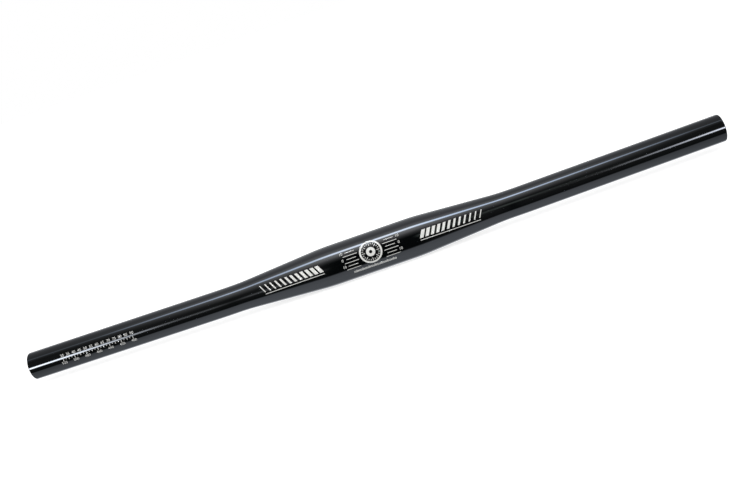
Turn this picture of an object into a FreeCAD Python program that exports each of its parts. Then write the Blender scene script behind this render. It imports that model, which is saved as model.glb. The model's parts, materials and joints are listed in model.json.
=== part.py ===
import FreeCAD
import Part
import math
import os

# Flat handlebar: one butted aluminium tube. Its middle is left at the full stem clamp diameter, two long
# tapers draw it down to the grip diameter, and a slight bend on each side sweeps the grips back.
# Millimetres. The origin is on the tube's centre line at the middle of the clamp zone, +X runs along the
# bar, +Y points back towards the rider and +Z points up, so the sweep lies level in the XY plane.

# Driving dimensions
bar_length = 580.0          # from the centre of one end face to the centre of the other, along X
clamp_diameter = 31.8       # outside, where the stem closes on the bar
grip_diameter = 22.2        # outside, under grips, levers and shifters
clamp_wall = 1.75           # wall of the butted middle
grip_wall = 1.4             # wall of the drawn-down grips
clamp_zone = 61.0           # straight run at the clamp diameter
taper_length = 69.0         # between the corners that the two blends round off
blend_radius = 220.0        # rounds each taper into the clamp zone and into the grip
bend_lead = 2.0             # straight run between the taper's blend and the bend
bend_radius = 300.0         # of the centre line where the grip turns back
sweep_angle = 3.0           # degrees that each grip turns back
end_round = 0.8             # rounded outer edge of each end
bore_chamfer = 0.3          # broken inner edge of each end

# Derived sizes
clamp_radius = clamp_diameter / 2
grip_radius = grip_diameter / 2
clamp_bore_radius = clamp_radius - clamp_wall
grip_bore_radius = grip_radius - grip_wall
taper_angle = math.atan2(clamp_radius - grip_radius, taper_length)
blend_tangent = blend_radius * math.tan(taper_angle / 2)
upper_corner = clamp_zone / 2 + blend_tangent
lower_corner = upper_corner + taper_length
bend_start = lower_corner + blend_tangent + bend_lead
sweep = math.radians(sweep_angle)
grip_start = FreeCAD.Vector(
    bend_start + bend_radius * math.sin(sweep), bend_radius * (1 - math.cos(sweep)), 0
)
grip_length = (bar_length / 2 - grip_start.x) / math.cos(sweep)

origin = FreeCAD.Vector(0, 0, 0)
along_bar = FreeCAD.Vector(1, 0, 0)
upward = FreeCAD.Vector(0, 0, 1)


def point(x, radius):
    # A point of a profile: how far along the tube, and how far out from its centre line.
    return FreeCAD.Vector(x, radius, 0)


def rounded_corner(before, corner, after, radius):
    # The arc that rounds a shallow corner, tangent to the runs on both sides of it.
    to_before = (before - corner).normalize()
    to_after = (after - corner).normalize()
    half_angle = to_before.getAngle(to_after) / 2
    inward = (to_before + to_after).normalize()
    tangent = radius / math.tan(half_angle)
    middle = corner + inward * (radius / math.sin(half_angle) - radius)
    return Part.Arc(corner + to_before * tangent, middle, corner + to_after * tangent).toShape()


def tapered_line(middle_radius, end_radius):
    # One wall of the middle in profile: clamp zone, blend, cone, blend and the run up to the bend.
    start = point(0, middle_radius)
    upper = point(upper_corner, middle_radius)
    lower = point(lower_corner, end_radius)
    end = point(bend_start, end_radius)
    upper_blend = rounded_corner(start, upper, lower, blend_radius)
    lower_blend = rounded_corner(upper, lower, end, blend_radius)
    return [
        Part.makeLine(start, upper_blend.firstVertex().Point),
        upper_blend,
        Part.makeLine(upper_blend.lastVertex().Point, lower_blend.firstVertex().Point),
        lower_blend,
        Part.makeLine(lower_blend.lastVertex().Point, end),
    ]


def turned(edges):
    # The solid of a closed profile turned about the tube's own centre line.
    return Part.Face(Part.Wire(Part.__sortEdges__(edges))).revolve(origin, along_bar, 360)


def half_middle():
    outer = tapered_line(clamp_radius, grip_radius)
    inner = tapered_line(clamp_bore_radius, grip_bore_radius)
    mid_section = Part.makeLine(point(0, clamp_bore_radius), point(0, clamp_radius))
    bend_section = Part.makeLine(point(bend_start, grip_bore_radius), point(bend_start, grip_radius))
    return turned(outer + inner + [mid_section, bend_section])


def bend():
    # The grip's ring section carried round the sweep.
    section_centre = FreeCAD.Vector(bend_start, 0, 0)
    outer = Part.Wire(Part.makeCircle(grip_radius, section_centre, along_bar))
    inner = Part.Wire(Part.makeCircle(grip_bore_radius, section_centre, along_bar))
    ring = Part.Face(outer).cut(Part.Face(inner)).Faces[0]
    turning_centre = FreeCAD.Vector(bend_start, bend_radius, 0)
    return ring.revolve(turning_centre, upward, sweep_angle)


def grip():
    # The straight grip, with the outer edge of its end rounded and the bore's edge broken.
    round_start = point(grip_length - end_round, grip_radius)
    round_end = point(grip_length, grip_radius - end_round)
    round_centre = point(grip_length - end_round, grip_radius - end_round)
    halfway = end_round * math.sqrt(0.5)
    round_middle = round_centre + FreeCAD.Vector(halfway, halfway, 0)
    chamfer_start = point(grip_length, grip_bore_radius + bore_chamfer)
    chamfer_end = point(grip_length - bore_chamfer, grip_bore_radius)
    bore_start = point(0, grip_bore_radius)
    wall_start = point(0, grip_radius)
    solid = turned([
        Part.makeLine(wall_start, round_start),
        Part.Arc(round_start, round_middle, round_end).toShape(),
        Part.makeLine(round_end, chamfer_start),
        Part.makeLine(chamfer_start, chamfer_end),
        Part.makeLine(chamfer_end, bore_start),
        Part.makeLine(bore_start, wall_start),
    ])
    solid.rotate(origin, upward, sweep_angle)
    solid.translate(grip_start)
    return solid


def handlebar():
    right_half = half_middle().fuse([bend(), grip()])
    left_half = right_half.mirror(origin, along_bar)
    return right_half.fuse(left_half).removeSplitter()


os.makedirs("parts", exist_ok=True)
handlebar().exportStep("parts/handlebar.step")
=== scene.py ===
import bpy
import bmesh
import json
import math
from mathutils import Matrix, Vector


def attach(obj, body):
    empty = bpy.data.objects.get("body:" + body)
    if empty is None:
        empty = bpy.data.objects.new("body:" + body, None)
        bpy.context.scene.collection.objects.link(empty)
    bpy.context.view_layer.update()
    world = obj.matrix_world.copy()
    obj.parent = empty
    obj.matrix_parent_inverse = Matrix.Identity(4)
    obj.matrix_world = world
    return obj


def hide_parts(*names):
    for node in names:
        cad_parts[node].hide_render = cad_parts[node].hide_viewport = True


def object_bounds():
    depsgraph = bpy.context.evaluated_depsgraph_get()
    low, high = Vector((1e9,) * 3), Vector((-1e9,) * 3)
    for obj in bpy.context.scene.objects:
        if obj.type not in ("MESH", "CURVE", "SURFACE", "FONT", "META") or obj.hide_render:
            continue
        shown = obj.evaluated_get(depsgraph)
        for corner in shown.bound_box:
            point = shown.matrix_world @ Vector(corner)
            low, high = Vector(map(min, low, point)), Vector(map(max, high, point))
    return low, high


# Flat handlebar in gloss black. X runs along the bar, the rider sits at +Y, Z is up.
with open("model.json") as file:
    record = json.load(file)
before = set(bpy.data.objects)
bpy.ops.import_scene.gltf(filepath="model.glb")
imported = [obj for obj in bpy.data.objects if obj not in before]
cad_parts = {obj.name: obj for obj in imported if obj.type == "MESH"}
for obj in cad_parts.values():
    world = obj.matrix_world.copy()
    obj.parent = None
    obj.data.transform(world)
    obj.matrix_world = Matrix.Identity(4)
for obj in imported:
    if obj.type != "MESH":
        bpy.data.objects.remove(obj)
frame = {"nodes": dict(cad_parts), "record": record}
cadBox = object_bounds()
mounts = {mount["name"]: mount for mount in frame["record"]["mounts"]}
mm = 0.001
scene = bpy.context.scene
scene.view_settings.view_transform = "Standard"
print("frame loaded:", sorted(frame["nodes"]))


# materials

def addNode(owner, kind, **settings):
    node = owner.node_tree.nodes.new(kind)
    for key, value in settings.items():
        setattr(node, key, value)
    return node


def join(owner, fromSocket, toSocket):
    owner.node_tree.links.new(fromSocket, toSocket)


def emptyMaterial(name):
    material = bpy.data.materials.new(name)
    material.use_nodes = True
    material.node_tree.nodes.clear()
    return material, addNode(material, "ShaderNodeOutputMaterial")


def newMaterial(name):
    material, output = emptyMaterial(name)
    shader = addNode(material, "ShaderNodeBsdfPrincipled")
    join(material, shader.outputs["BSDF"], output.inputs["Surface"])
    return material, shader


def grain(material, stretch, perMetre, detail):
    # noise over the piece's own coordinates, drawn out by the stretch
    place = addNode(material, "ShaderNodeTexCoord")
    mapping = addNode(material, "ShaderNodeMapping")
    mapping.inputs["Scale"].default_value = stretch
    noise = addNode(material, "ShaderNodeTexNoise")
    noise.inputs["Scale"].default_value = perMetre
    noise.inputs["Detail"].default_value = detail
    join(material, place.outputs["Object"], mapping.inputs["Vector"])
    join(material, mapping.outputs["Vector"], noise.inputs["Vector"])
    return noise.outputs["Fac"]


def spread(material, value, low, high):
    # brings noise to the range low..high
    reach = addNode(material, "ShaderNodeMapRange")
    reach.inputs["From Min"].default_value = 0.3
    reach.inputs["From Max"].default_value = 0.7
    reach.inputs["To Min"].default_value = low
    reach.inputs["To Max"].default_value = high
    join(material, value, reach.inputs["Value"])
    return reach.outputs["Result"]


def colourBetween(material, value, dark, light):
    ramp = addNode(material, "ShaderNodeValToRGB")
    for stop, position, colour in zip(ramp.color_ramp.elements, (0.35, 0.65), (dark, light)):
        stop.position = position
        stop.color = (*colour, 1)
    join(material, value, ramp.inputs["Fac"])
    return ramp.outputs["Color"]


def bumpFrom(material, value, depth, strength):
    bump = addNode(material, "ShaderNodeBump")
    bump.inputs["Strength"].default_value = strength
    bump.inputs["Distance"].default_value = depth
    join(material, value, bump.inputs["Height"])
    return bump.outputs["Normal"]


paintLook = {
    "dark": (0.0007, 0.0008, 0.0009),
    "light": (0.0012, 0.0013, 0.0014),
    "cloudPerMetre": 60.0,          # slow change of tone
    "roughness": (0.055, 0.085),
    "polishPerMetre": 1400.0,       # fine marks of the polish
    "polishStretch": (0.03, 1, 1),  # drawn out along the bar
    "peelPerMetre": 420.0,          # orange peel of the lacquer
    "peelDepth": 0.0000015,
    "peelStrength": 0.10,
    "ior": 1.5,
}


def glossBlackPaint():
    material, shader = newMaterial("gloss_black_paint")
    cloud = grain(material, (1, 1, 1), paintLook["cloudPerMetre"], 3)
    polish = grain(material, paintLook["polishStretch"], paintLook["polishPerMetre"], 2)
    peel = grain(material, (1, 1, 1), paintLook["peelPerMetre"], 1)
    colour = colourBetween(material, cloud, paintLook["dark"], paintLook["light"])
    skin = bumpFrom(material, peel, paintLook["peelDepth"], paintLook["peelStrength"])
    join(material, colour, shader.inputs["Base Color"])
    join(material, spread(material, polish, *paintLook["roughness"]), shader.inputs["Roughness"])
    join(material, skin, shader.inputs["Normal"])
    shader.inputs["IOR"].default_value = paintLook["ior"]
    return material


boreLook = {
    "dark": (0.42, 0.42, 0.43),
    "light": (0.60, 0.60, 0.61),
    "roughness": (0.30, 0.45),
    "metallic": 0.75,               # dulled by its oxide
    "drawnPerMetre": 900.0,
    "drawnStretch": (0.02, 1, 1),
    "drawnDepth": 0.00001,
    "drawnStrength": 0.3,
    "overspray": (0.0018, 0.0002),  # from each end: where the black mist starts, and where it covers
}


def drawnAlloy(endX):
    # bare drawn alloy inside the tube, under a mist of black paint near the ends
    material, shader = newMaterial("bare_drawn_alloy")
    streak = grain(material, boreLook["drawnStretch"], boreLook["drawnPerMetre"], 4)
    place = addNode(material, "ShaderNodeTexCoord")
    split = addNode(material, "ShaderNodeSeparateXYZ")
    fromMiddle = addNode(material, "ShaderNodeMath", operation="ABSOLUTE")
    painted = addNode(material, "ShaderNodeMapRange")
    painted.inputs["From Min"].default_value = endX - boreLook["overspray"][0]
    painted.inputs["From Max"].default_value = endX - boreLook["overspray"][1]
    join(material, place.outputs["Object"], split.inputs["Vector"])
    join(material, split.outputs["X"], fromMiddle.inputs[0])
    join(material, fromMiddle.outputs["Value"], painted.inputs["Value"])
    mist = addNode(material, "ShaderNodeMix", data_type="RGBA")
    bare = addNode(material, "ShaderNodeMapRange")
    bare.inputs["To Min"].default_value = boreLook["metallic"]
    bare.inputs["To Max"].default_value = 0.0
    metal = colourBetween(material, streak, boreLook["dark"], boreLook["light"])
    join(material, painted.outputs["Result"], mist.inputs["Factor"])
    join(material, painted.outputs["Result"], bare.inputs["Value"])
    join(material, metal, mist.inputs["A"])
    mist.inputs["B"].default_value = (*paintLook["light"], 1)
    join(material, mist.outputs["Result"], shader.inputs["Base Color"])
    join(material, bare.outputs["Result"], shader.inputs["Metallic"])
    join(material, spread(material, streak, *boreLook["roughness"]), shader.inputs["Roughness"])
    lines = bumpFrom(material, streak, boreLook["drawnDepth"], boreLook["drawnStrength"])
    join(material, lines, shader.inputs["Normal"])
    return material


inkLook = {
    "dark": (0.74, 0.74, 0.71),
    "light": (0.87, 0.87, 0.84),
    "roughness": (0.32, 0.45),
    "meshPerMetre": 2600.0,         # the screen's weave left in the ink
    "meshDepth": 0.000004,
    "meshStrength": 0.2,
}


def whiteInk():
    material, shader = newMaterial("white_screen_ink")
    weave = grain(material, (1, 1, 1), inkLook["meshPerMetre"], 2)
    colour = colourBetween(material, weave, inkLook["dark"], inkLook["light"])
    join(material, colour, shader.inputs["Base Color"])
    join(material, spread(material, weave, *inkLook["roughness"]), shader.inputs["Roughness"])
    threads = bumpFrom(material, weave, inkLook["meshDepth"], inkLook["meshStrength"])
    join(material, threads, shader.inputs["Normal"])
    return material


# the tube

clampMount = mounts["stem_clamp"]
gripMount = mounts["right_grip"]
boreMount = mounts["right_end_bore"]
gripAxis = Vector(gripMount["axis"])
tube = {
    "clampRadius": clampMount["dims"]["r_mm"] * mm,
    "clampZone": clampMount["dims"]["length_mm"] * mm,
    "gripRadius": gripMount["dims"]["r_mm"] * mm,
    "gripBore": boreMount["dims"]["r_mm"] * mm,
    "gripRun": gripMount["dims"]["length_mm"] * mm,
    "sweep": math.atan2(gripAxis.y, gripAxis.x),
    "clampWall": 0.00175,
    "taperLength": 0.069,
    "blendRadius": 0.220,
    "bendRadius": 0.300,
    "endRound": 0.0008,
    "boreChamfer": 0.0003,
    "edgeHold": 0.0003,             # a ring close to each end keeps the shading straight up to it
    "segments": 128,                # around the tube
    "blendMargin": 1.05,            # rings reach a little past each blend
    "blendRings": 8,                # to each side of a blend's middle
    "taperRings": (1 / 3, 1 / 2, 2 / 3),
    "bendRings": 10,
    "gripRings": 12,
    "edgeRings": 6,
    "sharpOver": math.radians(35),
}
gripStart = Vector(gripMount["pos_m"]) - gripAxis * (tube["gripRun"] / 2)
bendStart = gripStart.x - tube["bendRadius"] * math.sin(tube["sweep"])
bendEnd = bendStart + tube["bendRadius"] * tube["sweep"]
halfRun = bendEnd + tube["gripRun"] + tube["endRound"]      # middle to end face, along the centre line
taperAngle = math.atan2(tube["clampRadius"] - tube["gripRadius"], tube["taperLength"])
blendReach = tube["blendRadius"] * math.tan(taperAngle / 2)
upperCorner = tube["clampZone"] / 2 + blendReach
lowerCorner = upperCorner + tube["taperLength"]


def centreLine(run):
    # the point at a signed run from the middle, and how far the tube has turned there
    side = 1 if run >= 0 else -1
    out = abs(run)
    turn = min(max(out - bendStart, 0) / tube["bendRadius"], tube["sweep"])
    beyond = max(out - bendEnd, 0)
    x = min(out, bendStart) + tube["bendRadius"] * math.sin(turn) + beyond * math.cos(turn)
    y = tube["bendRadius"] * (1 - math.cos(turn)) + beyond * math.sin(turn)
    return Vector((side * x, y, 0)), side * turn


def wallRadius(run, middleRadius, endRadius):
    # one skin of the wall: straight middle, blend, cone, blend, straight grip
    out = abs(run)
    slope = math.atan2(middleRadius - endRadius, tube["taperLength"])
    blend = tube["blendRadius"]
    tangent = blend * math.tan(slope / 2)
    upperStart, upperEnd = upperCorner - tangent, upperCorner + tangent * math.cos(slope)
    lowerStart, lowerEnd = lowerCorner - tangent * math.cos(slope), lowerCorner + tangent
    if out <= upperStart:
        return middleRadius
    if out <= upperEnd:
        return middleRadius - blend + math.sqrt(blend ** 2 - (out - upperStart) ** 2)
    if out <= lowerStart:
        return middleRadius - (out - upperCorner) * math.tan(slope)
    if out <= lowerEnd:
        return endRadius + blend - math.sqrt(blend ** 2 - (lowerEnd - out) ** 2)
    return endRadius


def outerRadius(run):
    return wallRadius(run, tube["clampRadius"], tube["gripRadius"])


def innerRadius(run):
    return wallRadius(run, tube["clampRadius"] - tube["clampWall"], tube["gripBore"])


def onTube(run, angle, radius):
    # angle 0 is the front of the bar, and it opens upwards
    centre, turn = centreLine(run)
    backwards = Vector((-math.sin(turn), math.cos(turn), 0))
    upwards = Vector((0, 0, 1))
    return centre + radius * (math.sin(angle) * upwards - math.cos(angle) * backwards)


def stationsAlong(reach):
    # where the rings stand: close together on the blends and the bends, wide apart on straight runs
    halves = [0.0, tube["clampZone"] / 4]
    wide = blendReach * tube["blendMargin"]
    blends, bends, grips = tube["blendRings"], tube["bendRings"], tube["gripRings"]
    for corner in (upperCorner, lowerCorner):
        halves += [corner + wide * step / blends for step in range(-blends, blends + 1)]
    halves += [upperCorner + tube["taperLength"] * share for share in tube["taperRings"]]
    halves += [bendStart + (bendEnd - bendStart) * step / bends for step in range(bends + 1)]
    halves += [bendEnd + (reach - bendEnd) * step / grips for step in range(1, grips + 1)]
    halves.append(reach - tube["edgeHold"])
    halves = sorted(set(round(value, 6) for value in halves))
    return [-value for value in reversed(halves) if value > 0] + halves


def endRings(side):
    # the rounded outer edge and the flat end face, from the grip inwards
    edge, count = tube["endRound"], tube["edgeRings"]
    rings = []
    for step in range(1, count + 1):
        a = math.pi / 2 * step / count
        run = halfRun - edge + edge * math.sin(a)
        rings.append((side * run, tube["gripRadius"] - edge + edge * math.cos(a), False))
    return rings + [(side * halfRun, tube["gripBore"] + tube["boreChamfer"], False)]


def tubeRings():
    # (run, radius, inside) round the wall's whole section: outer skin, right end, bore, left end
    outside = [(run, outerRadius(run), False) for run in stationsAlong(halfRun - tube["endRound"])]
    inside = [(run, innerRadius(run), True) for run in stationsAlong(halfRun - tube["boreChamfer"])]
    return outside + endRings(1) + inside[::-1] + endRings(-1)[::-1]


def pieceFrom(bm, name):
    mesh = bpy.data.meshes.new(name)
    bm.to_mesh(mesh)
    bm.free()
    piece = bpy.data.objects.new(name, mesh)
    scene.collection.objects.link(piece)
    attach(piece, "root")
    return piece


def buildTube():
    bm = bmesh.new()
    count = tube["segments"]
    rings = tubeRings()
    loops = []
    for run, radius, inside in rings:
        loops.append([bm.verts.new(onTube(run, 2 * math.pi * k / count, radius)) for k in range(count)])
    for i in range(len(loops)):
        j = (i + 1) % len(loops)
        for k in range(count):
            n = (k + 1) % count
            face = bm.faces.new((loops[i][k], loops[i][n], loops[j][n], loops[j][k]))
            face.smooth = True
            face.material_index = 1 if rings[i][2] and rings[j][2] else 0
    bmesh.ops.recalc_face_normals(bm, faces=bm.faces)
    piece = pieceFrom(bm, "handlebar_tube")
    piece.data.set_sharp_from_angle(angle=tube["sharpOver"])
    piece.data.materials.append(glossBlackPaint())
    piece.data.materials.append(drawnAlloy(centreLine(halfRun)[0].x))
    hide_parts("handlebar")
    return piece


tubePiece = buildTube()
print("tube built:", len(tubePiece.data.polygons), "faces, half run", round(halfRun / mm, 2), "mm")


# white print: plain shapes laid out flat, then wrapped on to the tube

printLay = {
    "film": 0.000008,               # half the ink's thickness
    "cutRound": 0.0006,             # longest straight run round the tube
    "cutAlong": 0.0024,
}


def flatFace(bm, corners):
    bm.faces.new([bm.verts.new((x, y, 0)) for x, y in corners])


def block(bm, x0, y0, x1, y1, lean=0.0):
    flatFace(bm, [(x0, y0), (x1, y0), (x1 + lean, y1), (x0 + lean, y1)])


def tick(bm, x, y0, y1, width):
    block(bm, x - width / 2, y0, x + width / 2, y1)


def spoke(bm, inner, outer, angle, width):
    turn = Matrix.Rotation(angle, 2)
    corners = [(inner, -width / 2), (outer, -width / 2), (outer, width / 2), (inner, width / 2)]
    flatFace(bm, [turn @ Vector(corner) for corner in corners])


def ring(bm, inner, outer, steps):
    for step in range(steps):
        a = 2 * math.pi * step / steps
        b = 2 * math.pi * (step + 1) / steps
        corners = ((inner, a), (outer, a), (outer, b), (inner, b))
        flatFace(bm, [(radius * math.cos(t), radius * math.sin(t)) for radius, t in corners])


def addDigits(bm, number, x, y, height):
    curve = bpy.data.curves.new("digits", "FONT")
    curve.body = str(number)
    curve.size = height
    curve.align_x = "CENTER"
    curve.align_y = "CENTER"
    holder = bpy.data.objects.new("digits", curve)
    scene.collection.objects.link(holder)
    bpy.context.view_layer.update()
    flat = bpy.data.meshes.new_from_object(holder)
    flat.transform(Matrix.Translation((x, y, 0)))
    bm.from_mesh(flat)
    bpy.data.objects.remove(holder)
    bpy.data.curves.remove(curve)
    bpy.data.meshes.remove(flat)


def cutAcross(bm, axis, step):
    # slices the flat shapes so that they can follow the tube
    along = Vector((1, 0, 0)) if axis == 0 else Vector((0, 1, 0))
    low = min(v.co[axis] for v in bm.verts)
    high = max(v.co[axis] for v in bm.verts)
    for k in range(1, int((high - low) / step) + 1):
        everything = bm.verts[:] + bm.edges[:] + bm.faces[:]
        bmesh.ops.bisect_plane(bm, geom=everything, plane_co=along * (low + k * step), plane_no=along)


def wrapPrint(name, bm, middleRun, facing, ink):
    bmesh.ops.remove_doubles(bm, verts=bm.verts, dist=1e-7)
    cutAcross(bm, 0, printLay["cutAlong"])
    cutAcross(bm, 1, printLay["cutRound"])
    grown = bmesh.ops.extrude_face_region(bm, geom=bm.faces[:])["geom"]
    top = {v for v in grown if isinstance(v, bmesh.types.BMVert)}
    for v in bm.verts:
        run = middleRun + v.co.x
        radius = outerRadius(run)
        film = printLay["film"] if v in top else -printLay["film"]
        v.co = onTube(run, facing + v.co.y / radius, radius + film)
    bmesh.ops.recalc_face_normals(bm, faces=bm.faces)
    piece = pieceFrom(bm, name)
    piece.data.materials.append(ink)
    return piece


flankPrint = {
    "middleRun": 0.064,
    "facing": math.radians(17.0),
    "bars": 12,
    "pitch": 0.0044,
    "width": (0.0030, 0.0008),      # the bar nearest the middle, and the last one
    "height": 0.0060,
    "lean": 0.0031,
    "stripe": 0.0005,
    "stripeDrop": 0.0049,           # below the bars' middle
}


def buildFlankPrint(side, ink):
    # slanted bars that thin out towards the grip, over a pinstripe
    f = flankPrint
    bm = bmesh.new()
    whole = f["pitch"] * (f["bars"] - 1) + f["width"][1]
    high = f["height"] / 2
    for k in range(f["bars"]):
        share = k / (f["bars"] - 1)
        width = f["width"][0] * (1 - share) + f["width"][1] * share
        x = k * f["pitch"] - whole / 2
        block(bm, x, -high, x + width, high, f["lean"])
    block(bm, -whole / 2, -f["stripeDrop"], whole / 2, f["stripe"] - f["stripeDrop"])
    for v in bm.verts:
        v.co.x *= side
    name = "right_flank_print" if side > 0 else "left_flank_print"
    return wrapPrint(name, bm, side * f["middleRun"], f["facing"], ink)


clampPrint = {
    "facing": math.radians(16.5),
    "ring": (0.0077, 0.0091),
    "ringSteps": 72,
    "hub": (0.0013, 0.0036),
    "hubSteps": 36,
    "ticks": 24,
    "tick": 0.00045,
    "tickTo": 0.0071,
    "tickFrom": (0.0059, 0.0048),   # a plain tick, and every third one
    "line": 0.0004,
    "rows": 6,                      # turning marks, every other one numbered
    "topRow": 0.0055,
    "rowStep": 0.0027,
    "numbered": (0.0120, 0.0198),   # each mark's near and far end, off the dial's middle
    "plain": (0.0104, 0.0220),
    "numbers": (10, 0, 10),
    "numberAt": 0.0230,
    "digit": 0.0030,
    "ruleMarks": 35,                # one each millimetre
    "ruleLine": 0.0006,
    "ruleTick": (0.0018, 0.0023),
    "ruleDrop": 0.0128,
}


def buildClampPrint(ink):
    # a plain dial on the bar's middle, with turning marks to each side and a centring rule below
    c = clampPrint
    bm = bmesh.new()
    ring(bm, *c["ring"], c["ringSteps"])
    ring(bm, *c["hub"], c["hubSteps"])
    for k in range(c["ticks"]):
        spoke(bm, c["tickFrom"][k % 3 == 0], c["tickTo"], 2 * math.pi * k / c["ticks"], c["tick"])
    for row in range(c["rows"]):
        y = c["topRow"] - row * c["rowStep"]
        near, far = c["plain"] if row % 2 else c["numbered"]
        for side in (1, -1):
            low, high = sorted((side * near, side * far))
            block(bm, low, y - c["line"] / 2, high, y + c["line"] / 2)
            if row % 2 == 0:
                addDigits(bm, c["numbers"][row // 2], side * c["numberAt"], y, c["digit"])
    for k in range(c["ruleMarks"]):
        fromMiddle = k - c["ruleMarks"] // 2
        tall = c["ruleTick"][fromMiddle % 5 == 0]
        tick(bm, fromMiddle * mm, -c["ruleDrop"], tall - c["ruleDrop"], c["ruleLine"])
    return wrapPrint("clamp_dial_print", bm, 0.0, c["facing"], ink)


trimPrint = {
    "facing": math.radians(8.5),
    "fromEnd": 0.030,               # the first mark
    "marks": 25,
    "markStep": 2.5,                # millimetres
    "line": 0.0004,
    "tick": (0.0011, 0.0016, 0.0022),
    "tickDrop": 0.0006,
    "digit": 0.0031,
    "cutStep": 5,
    "cutRise": 0.0019,              # row of lengths to cut off each end
    "leftStep": 10,
    "leftDrop": 0.0044,             # row of bar lengths that are then left
}


def buildTrimPrint(ink):
    # a trimming scale by the left end
    t = trimPrint
    bm = bmesh.new()
    length = (t["marks"] - 1) * t["markStep"] * mm
    barLength = round(2 * centreLine(halfRun)[0].x / mm)
    for k in range(t["marks"]):
        along = k * t["markStep"]
        x = along * mm - length / 2
        cut = round(t["fromEnd"] / mm + along)
        tall = t["tick"][(along % 5 == 0) + (along % 10 == 0)]
        tick(bm, x, -t["tickDrop"] - tall, -t["tickDrop"], t["line"])
        if along % t["cutStep"] == 0:
            addDigits(bm, cut, x, t["cutRise"], t["digit"])
        if along % t["leftStep"] == 0:
            addDigits(bm, barLength - 2 * cut, x, -t["leftDrop"], t["digit"])
    return wrapPrint("trim_scale_print", bm, -(halfRun - t["fromEnd"] - length / 2), t["facing"], ink)


ink = whiteInk()
printPieces = [buildFlankPrint(-1, ink), buildFlankPrint(1, ink), buildClampPrint(ink), buildTrimPrint(ink)]
print("print laid:", [(piece.name, len(piece.data.polygons)) for piece in printPieces])


# stage

def stagePiece(name, corners, faces, material):
    mesh = bpy.data.meshes.new(name)
    mesh.from_pydata(corners, [], faces)
    mesh.materials.append(material)
    piece = bpy.data.objects.new(name, mesh)
    scene.collection.objects.link(piece)
    return piece


def addTogether(material, first, second, output):
    both = addNode(material, "ShaderNodeAddShader")
    join(material, first, both.inputs[0])
    join(material, second, both.inputs[1])
    join(material, both.outputs["Shader"], output.inputs["Surface"])


floorLook = {
    "size": 12.0,
    "white": (0.66, 0.66, 0.66),
    "ownLight": 0.74,
}


def buildFloor():
    half = floorLook["size"] / 2
    low = cadBox[0].z
    corners = [(-half, -half, low), (half, -half, low), (half, half, low), (-half, half, low)]
    material, output = emptyMaterial("white_floor")
    matt = addNode(material, "ShaderNodeBsdfDiffuse")
    matt.inputs["Color"].default_value = (*floorLook["white"], 1)
    glow = addNode(material, "ShaderNodeEmission")
    path = addNode(material, "ShaderNodeLightPath")
    seen = addNode(material, "ShaderNodeMath", operation="ADD")
    level = addNode(material, "ShaderNodeMath", operation="MULTIPLY")
    level.inputs[1].default_value = floorLook["ownLight"]
    join(material, path.outputs["Is Camera Ray"], seen.inputs[0])
    join(material, path.outputs["Is Transmission Ray"], seen.inputs[1])
    join(material, seen.outputs["Value"], level.inputs[0])
    join(material, level.outputs["Value"], glow.inputs["Strength"])
    addTogether(material, matt.outputs["BSDF"], glow.outputs["Emission"], output)
    floor = stagePiece("floor", corners, [(0, 1, 2, 3)], material)
    floor.visible_glossy = False        # the gloss shows the room's own white table instead


# The room that the gloss shows. Each panel fades in, holds and fades out: round the bar in degrees
# from straight in front up over the top, and along it by the ray's share of X.

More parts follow.
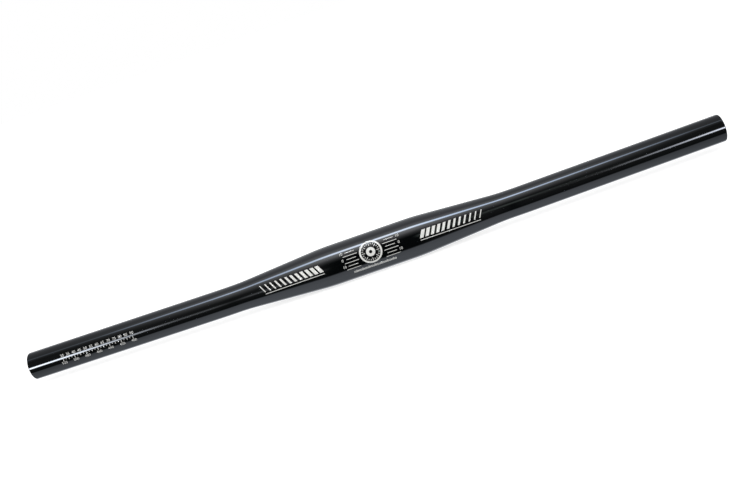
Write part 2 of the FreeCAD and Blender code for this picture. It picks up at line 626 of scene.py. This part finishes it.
allAlong = (-3, -2, 2, 3)
roomPanels = {
    "white_table": {
        "round": (-150, -62, -46, -37), "along": allAlong,
        "level": 0.79, "tint": (0.93, 1.0, 1.12)},
    "table_middle": {
        "round": (-150, -62, -46, -37), "along": (-0.50, -0.24, 0.19, 0.38),
        "level": 0.49, "tint": (0.93, 1.0, 1.12)},
    "table_under": {
        "round": (-172, -162, -142, -110), "along": allAlong,
        "level": 1.15, "tint": (0.97, 1.0, 1.05)},
    "table_behind": {
        "round": (146, 160, 166, 176), "along": (-0.66, -0.50, 0.44, 0.60),
        "level": 1.05, "tint": (0.97, 1.0, 1.05)},
    "upper_wall": {
        "round": (48, 78, 142, 158), "along": (-0.95, -0.42, 0.36, 0.95),
        "level": 0.43, "tint": (0.97, 1.0, 1.08)},
    "upper_wall_middle": {
        "round": (48, 78, 142, 158), "along": (-0.40, -0.18, 0.14, 0.32),
        "level": 0.31, "tint": (0.97, 1.0, 1.08)},
    "strip_tail": {
        "round": (70, 75.5, 77.5, 83), "along": (-0.90, -0.10, 0.30, 0.90),
        "level": 1.20, "tint": (0.80, 1.0, 1.25)},
    "left_window": {
        "round": (-7.5, 0.5, 3, 10.5), "along": (-0.62, -0.54, -0.492, -0.340),
        "level": 38.0, "tint": (0.925, 1.0, 1.11)},
    "left_sill": {
        "round": (-8, 1, 3, 12), "along": (-0.90, -0.50, -0.40, -0.10),
        "level": 1.40, "tint": (0.95, 1.0, 1.08)},
    "right_window": {
        "round": (-0.5, 6.5, 9, 16), "along": (0.292, 0.455, 0.50, 0.58),
        "level": 40.0, "tint": (0.94, 1.0, 1.14)},
    "right_blind": {
        "round": (-0.5, 6.5, 9, 16), "along": (0.272, 0.299, 0.307, 0.337),
        "level": 2.3, "tint": (0.94, 1.0, 1.10)},
    "right_sill": {
        "round": (-3, 7, 9, 19), "along": (0.16, 0.33, 0.50, 0.90),
        "level": 0.45, "tint": (0.98, 1.0, 1.05)},
    "green_shelf": {
        "round": (7, 16, 18, 27), "along": (0.03, 0.09, 0.12, 0.32),
        "level": 0.80, "tint": (0.84, 1.0, 0.94)},
    "left_side": {
        "round": (-60, 10, 40, 70), "along": (-3, -2, -0.28, -0.06),
        "level": 0.12, "tint": (1.0, 1.0, 1.0)},
    "right_side": {
        "round": (-60, 0, 40, 70), "along": (0.04, 0.16, 2, 3),
        "level": 0.10, "tint": (1.0, 1.0, 1.0)},
    "far_strips": {
        "round": (64, 73, 79, 88), "along": (0.54, 0.66, 0.75, 1.05), "bothSides": True,
        "level": 12.0, "tint": (0.90, 1.0, 1.13)},
    "far_windows": {
        "round": (-6, 3, 8, 17), "along": (0.56, 0.66, 0.75, 1.05), "bothSides": True,
        "level": 4.0, "tint": (0.98, 1.0, 1.03)},
}
roomLook = {
    "dark": (0.020, 0.030, 0.034),
    "soft": 0.72,                       # plain level that lights the print and the floor
}

# The lit ceiling hangs so low that the tapers show it almost where the straight runs do, so it is an
# arch of its own. Its panels run along X in metres.
ceiling = {
    "distance": 0.40,                   # from the bar
    "round": (20, 115),
    "reach": 0.56,                      # to each side of the middle
    "steps": 48,
}
ceilingPanels = {
    "ceiling_glow": {
        "round": (24, 73, 75, 109), "along": (-0.46, -0.09, 0.12, 0.45),
        "level": 1.75, "tint": (0.98, 1.0, 1.03)},
    "strip_skirt": {
        "round": (41, 63, 65, 73), "along": (-0.20, -0.07, 0.04, 0.17),
        "level": 1.0, "tint": (0.98, 1.0, 1.03)},
    "overhead_strip": {
        "round": (67.3, 73.8, 76.8, 83.3), "along": (-0.385, -0.025, 0.10, 0.40), "ramp": "LINEAR",
        "level": 12.75, "tint": (0.80, 1.0, 1.35)},
    "strip_middle": {
        "round": (67.3, 73.8, 76.8, 83.3), "along": (-0.16, -0.02, 0.02, 0.14), "ramp": "LINEAR",
        "level": 3.6, "tint": (1.20, 1.0, 0.62)},
}


def fade(owner, value, start, end, down, ramp):
    step = addNode(owner, "ShaderNodeMapRange", interpolation_type=ramp)
    step.inputs["From Min"].default_value = start
    step.inputs["From Max"].default_value = end
    step.inputs["To Min"].default_value = 1.0 if down else 0.0
    step.inputs["To Max"].default_value = 0.0 if down else 1.0
    join(owner, value, step.inputs["Value"])
    return step.outputs["Result"]


def times(owner, first, second):
    product = addNode(owner, "ShaderNodeMath", operation="MULTIPLY")
    join(owner, first, product.inputs[0])
    join(owner, second, product.inputs[1])
    return product.outputs["Value"]


def window(owner, value, edges, ramp="SMOOTHSTEP"):
    rise = fade(owner, value, edges[0], edges[1], False, ramp)
    return times(owner, rise, fade(owner, value, edges[2], edges[3], True, ramp))


def panelGlow(owner, roundAngle, along, panel):
    edges = [math.radians(degrees) for degrees in panel["round"]]
    ramp = panel.get("ramp", "SMOOTHSTEP")
    if panel.get("bothSides"):
        mirrored = addNode(owner, "ShaderNodeMath", operation="ABSOLUTE")
        join(owner, along, mirrored.inputs[0])
        along = mirrored.outputs["Value"]
    shape = times(owner, window(owner, roundAngle, edges), window(owner, along, panel["along"], ramp))
    glow = addNode(owner, "ShaderNodeVectorMath", operation="SCALE")
    glow.inputs[0].default_value = [panel["level"] * c for c in panel["tint"]]
    join(owner, shape, glow.inputs["Scale"])
    return glow.outputs["Vector"]


def panelSum(owner, coordinate, panels, dark):
    # all the panels together, by the angle round X and the place along it
    place = addNode(owner, "ShaderNodeTexCoord")
    split = addNode(owner, "ShaderNodeSeparateXYZ")
    forward = addNode(owner, "ShaderNodeMath", operation="MULTIPLY")
    forward.inputs[1].default_value = -1.0
    angle = addNode(owner, "ShaderNodeMath", operation="ARCTAN2")
    join(owner, place.outputs[coordinate], split.inputs["Vector"])
    join(owner, split.outputs["Y"], forward.inputs[0])
    join(owner, split.outputs["Z"], angle.inputs[0])
    join(owner, forward.outputs["Value"], angle.inputs[1])
    total = addNode(owner, "ShaderNodeVectorMath", operation="ADD")
    total.inputs[0].default_value = dark
    for panel in panels.values():
        glow = panelGlow(owner, angle.outputs["Value"], split.outputs["X"], panel)
        join(owner, glow, total.inputs[1])
        following = addNode(owner, "ShaderNodeVectorMath", operation="ADD")
        join(owner, total.outputs["Vector"], following.inputs[0])
        total = following
    return total.outputs["Vector"]


def buildCeiling():
    # an arch over the bar that only the gloss sees, clear apart from its own light
    c = ceiling
    low, high = [math.radians(degrees) for degrees in c["round"]]
    corners = []
    for step in range(c["steps"] + 1):
        a = low + (high - low) * step / c["steps"]
        y, z = -c["distance"] * math.cos(a), c["distance"] * math.sin(a)
        corners += [(-c["reach"], y, z), (c["reach"], y, z)]
    faces = [(2 * step, 2 * step + 1, 2 * step + 3, 2 * step + 2) for step in range(c["steps"])]
    material, output = emptyMaterial("lit_ceiling")
    clear = addNode(material, "ShaderNodeBsdfTransparent")
    glow = addNode(material, "ShaderNodeEmission")
    join(material, panelSum(material, "Object", ceilingPanels, (0, 0, 0)), glow.inputs["Color"])
    addTogether(material, clear.outputs["BSDF"], glow.outputs["Emission"], output)
    material.cycles.emission_sampling = "NONE"
    arch = stagePiece("lit_ceiling", corners, faces, material)
    arch.visible_camera = False
    arch.visible_diffuse = False
    arch.visible_transmission = False
    arch.visible_shadow = False


def backdrop(world, level):
    shader = addNode(world, "ShaderNodeBackground")
    shader.inputs["Color"].default_value = (1, 1, 1, 1)
    shader.inputs["Strength"].default_value = level
    return shader


def pick(world, factor, without, having):
    choice = addNode(world, "ShaderNodeMixShader")
    join(world, factor, choice.inputs["Fac"])
    join(world, without, choice.inputs[1])
    join(world, having, choice.inputs[2])
    return choice.outputs["Shader"]


def buildRoom():
    world = bpy.data.worlds.new("studio_room")
    scene.world = world
    world.use_nodes = True
    world.node_tree.nodes.clear()
    room, soft, white = backdrop(world, 1.0), backdrop(world, roomLook["soft"]), backdrop(world, 1.0)
    join(world, panelSum(world, "Generated", roomPanels, roomLook["dark"]), room.inputs["Color"])
    path = addNode(world, "ShaderNodeLightPath")
    seen = addNode(world, "ShaderNodeMath", operation="MAXIMUM")
    join(world, path.outputs["Is Camera Ray"], seen.inputs[0])
    join(world, path.outputs["Is Transmission Ray"], seen.inputs[1])
    lit = pick(world, path.outputs["Is Glossy Ray"], soft.outputs["Background"], room.outputs["Background"])
    shown = pick(world, seen.outputs["Value"], lit, white.outputs["Background"])
    output = addNode(world, "ShaderNodeOutputWorld")
    join(world, shown, output.inputs["Surface"])
    world.cycles.sampling_method = "NONE"       # so that each ray meets the backdrop of its own kind


# lamp and camera

softbox = {
    "location": (-0.35, -1.25, 1.25),
    "size": 1.2,
    "power": 11.0,
}


def buildSoftbox():
    light = bpy.data.lights.new("softbox", "AREA")
    light.size = softbox["size"]
    light.energy = softbox["power"]
    holder = bpy.data.objects.new("softbox", light)
    scene.collection.objects.link(holder)
    holder.location = softbox["location"]
    holder.rotation_euler = Vector(softbox["location"]).to_track_quat("Z", "Y").to_euler()
    holder.visible_camera = False
    holder.visible_glossy = False


cameraPlace = {
    "location": (0.0448, -0.81092, 0.21557),
    "turns": (74.274, 19.185, -2.323),      # degrees
    "lens": 51.158,                         # mm
    "frameWidth": 36.0,                     # mm
    "nearest": 0.01,
}


def buildCamera():
    data = bpy.data.cameras.new("photo_camera")
    data.lens = cameraPlace["lens"]
    data.sensor_width = cameraPlace["frameWidth"]
    data.sensor_fit = "HORIZONTAL"
    data.clip_start = cameraPlace["nearest"]
    holder = bpy.data.objects.new("photo_camera", data)
    scene.collection.objects.link(holder)
    holder.location = cameraPlace["location"]
    holder.rotation_euler = [math.radians(turn) for turn in cameraPlace["turns"]]
    bpy.context.scene.camera = holder


buildFloor()
buildRoom()
buildCeiling()
buildSoftbox()
buildCamera()
print("stage set:", len(roomPanels) + len(ceilingPanels), "room panels")
